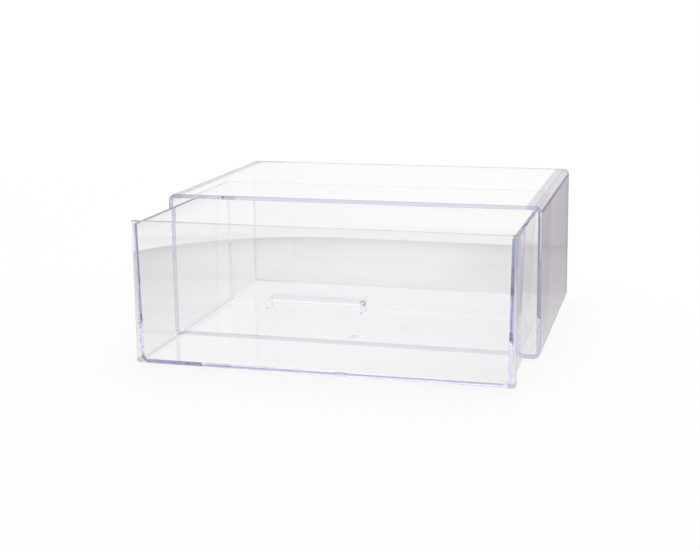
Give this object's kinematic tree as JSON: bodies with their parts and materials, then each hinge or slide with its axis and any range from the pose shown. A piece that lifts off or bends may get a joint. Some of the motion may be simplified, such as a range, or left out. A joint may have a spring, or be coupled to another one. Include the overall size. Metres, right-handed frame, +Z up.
{
  "type": "stackable drawer box",
  "caption": "Clear plastic drawer box: an open-fronted rounded case that stacks on its flat top, with a slide-out tray drawer and a moulded finger pull.",
  "frame": {"origin": "centre of the case's underside, where it rests", "axes": "+Z up, the drawer opens towards -Y, +X to the right of someone who faces the drawer"},
  "size_m": [0.33, 0.327, 0.13],
  "materials": {
    "clear_case": "clear polished polystyrene, faint blue-violet in its edges",
    "clear_drawer": "clear polished polystyrene, faint blue-violet in its edges"
  },
  "bodies": {
    "case": {"case": "clear_case"},
    "drawer": {"drawer": "clear_drawer"}
  },
  "joints": [
    {"name": "drawer_slide", "type": "slide", "parent": "case", "child": "drawer", "axis": [0, -1, 0], "range_m": [-0.095, 0.125]}
  ]
}
